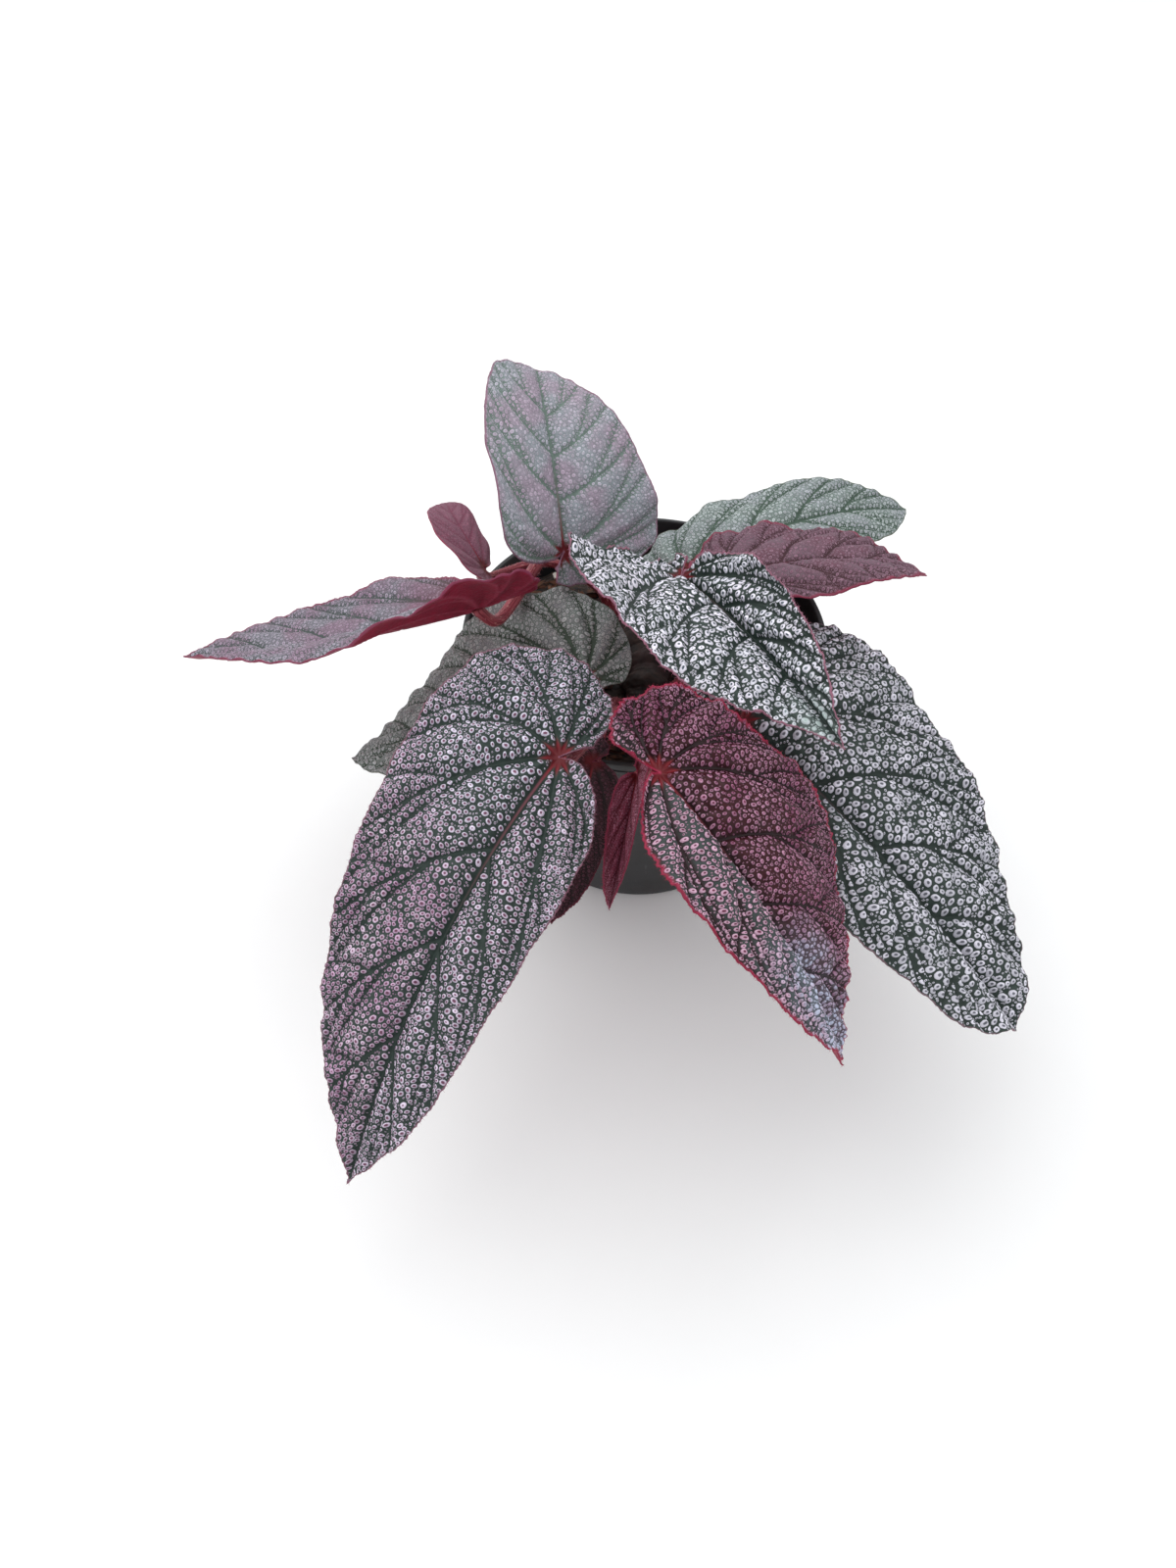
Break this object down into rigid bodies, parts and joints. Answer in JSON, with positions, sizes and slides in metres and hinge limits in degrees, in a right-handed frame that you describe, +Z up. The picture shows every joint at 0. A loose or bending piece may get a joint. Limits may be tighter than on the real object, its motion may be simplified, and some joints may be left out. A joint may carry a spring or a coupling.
{
  "type": "potted rex begonia",
  "caption": "Rex begonia with oblique pointed leaves, speckled silver and mauve between dark veins, on red stalks from a creeping rhizome in a round black nursery pot.",
  "frame": {"origin": "centre of the pot's flat base", "axes": "+Z up along the pot's axis, -Y towards the front of the plant, +X to its right"},
  "size_m": [0.2454, 0.2367, 0.1726],
  "materials": {
    "pot_plastic": "black moulded polypropylene, satin",
    "soil": "dark peat mix with bark and perlite",
    "rhizome": "brown scaly skin with old leaf scars",
    "petiole": "red fleshy stalk with fine hairs",
    "leaf_silver": "green ground with raised silver and lilac spots",
    "leaf_mauve": "mauve blade with dark veins and a crimson margin",
    "leaf_crimson": "glossy crimson pustules on a dark maroon ground"
  },
  "bodies": {
    "root": {"pot": "pot_plastic", "soil": "soil", "rhizome": "rhizome", "leaf_front_left": "leaf_silver", "petiole_front_left": "petiole", "leaf_front_crimson": "leaf_crimson", "petiole_front_crimson": "petiole", "leaf_front_right": "leaf_silver", "petiole_front_right": "petiole", "leaf_centre_young": "leaf_silver", "petiole_centre_young": "petiole", "leaf_back_upright": "leaf_silver", "petiole_back_upright": "petiole", "leaf_back_right": "leaf_silver", "petiole_back_right": "petiole", "leaf_right_mauve": "leaf_mauve", "petiole_right_mauve": "petiole", "leaf_left": "leaf_silver", "petiole_left": "petiole", "leaf_lower_left": "leaf_silver", "petiole_lower_left": "petiole", "leaf_left_young": "leaf_mauve", "petiole_left_young": "petiole", "leaf_folded_new": "leaf_crimson", "petiole_folded_new": "petiole", "leaf_inner_dark": "leaf_crimson", "petiole_inner_dark": "petiole"}
  },
  "joints": []
}
